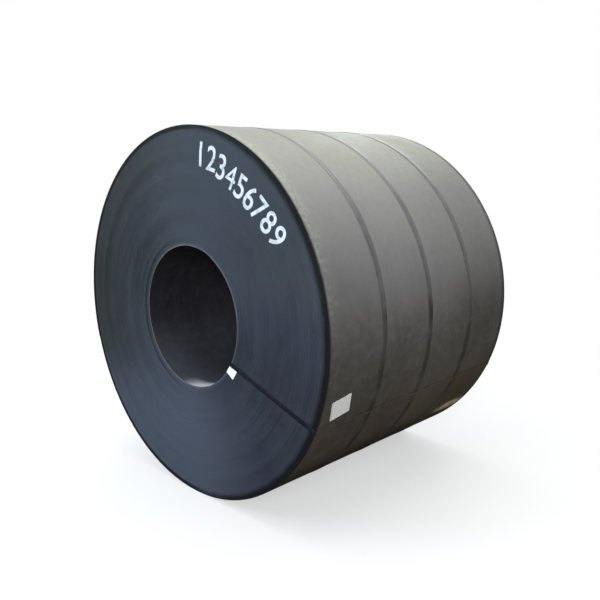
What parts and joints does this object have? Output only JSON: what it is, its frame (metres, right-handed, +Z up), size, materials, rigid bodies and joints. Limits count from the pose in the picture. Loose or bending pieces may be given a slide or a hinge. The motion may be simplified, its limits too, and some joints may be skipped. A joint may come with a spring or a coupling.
{
  "type": "steel coil",
  "caption": "Wide coil of hot-rolled steel strip lying on its side, wound on a round bore, held by steel hoop straps and an eye strap with crimped seals.",
  "frame": {"origin": "on the floor, under the middle of the coil, which lies on its hoop straps", "axes": "+Y along the bore, from the front end, which has the tag, to the rear end; +Z up; +X towards the side with the label"},
  "size_m": [1.6026, 1.2565, 1.6024],
  "materials": {
    "strip": "hot-rolled steel under thin blue-grey mill scale",
    "strap": "dark blued steel strapping, satin",
    "seal": "dark steel, satin",
    "card": "white coated card, matt"
  },
  "bodies": {
    "root": {"wound_strip": "strip", "hoop_strap_1": "strap", "hoop_strap_2": "strap", "hoop_strap_3": "strap", "hoop_seal_1": "seal", "hoop_seal_2": "seal", "hoop_seal_3": "seal", "eye_strap": "strap", "eye_seal": "seal", "label": "card", "eye_tag": "card"}
  },
  "joints": []
}
